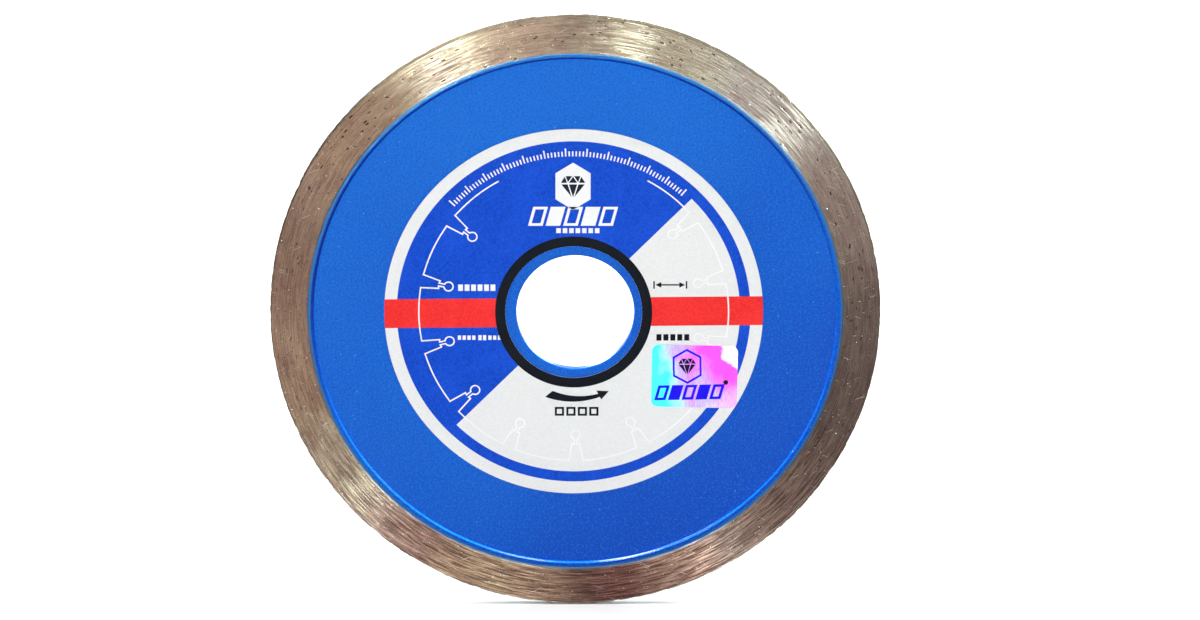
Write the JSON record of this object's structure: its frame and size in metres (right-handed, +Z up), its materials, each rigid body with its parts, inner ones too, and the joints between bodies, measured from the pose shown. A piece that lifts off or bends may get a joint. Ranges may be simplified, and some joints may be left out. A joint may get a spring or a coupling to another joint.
{
  "type": "diamond blade",
  "caption": "Thin round tile-cutting blade: painted steel disc with a plain central bore, a continuous sintered diamond rim and a round printed label on one face.",
  "frame": {"origin": "centre of the bore, on the middle plane of the steel core", "axes": "+Y along the spin axis out of the plain back face, -Y out of the labelled face; +Z up as the label reads; +X to the right as seen facing the label"},
  "size_m": [0.115, 0.0022, 0.115],
  "materials": {
    "spring_steel": "cold-rolled spring steel, bare only in the bore wall",
    "sintered_bronze": "ground sintered bronze with fine grinding lines round the rim",
    "blue_paint": "satin blue enamel film",
    "label_film": "satin white printed film",
    "hologram_foil": "iridescent metallised foil",
    "printing_ink": "flat printed ink",
    "diamond_grit": "small bright industrial diamond crystals"
  },
  "bodies": {
    "root": {"steel_core": "spring_steel", "diamond_rim": "sintered_bronze", "front_paint_coat": "blue_paint", "back_paint_coat": "blue_paint", "front_label": "label_film", "hologram_sticker": "hologram_foil"}
  },
  "joints": []
}
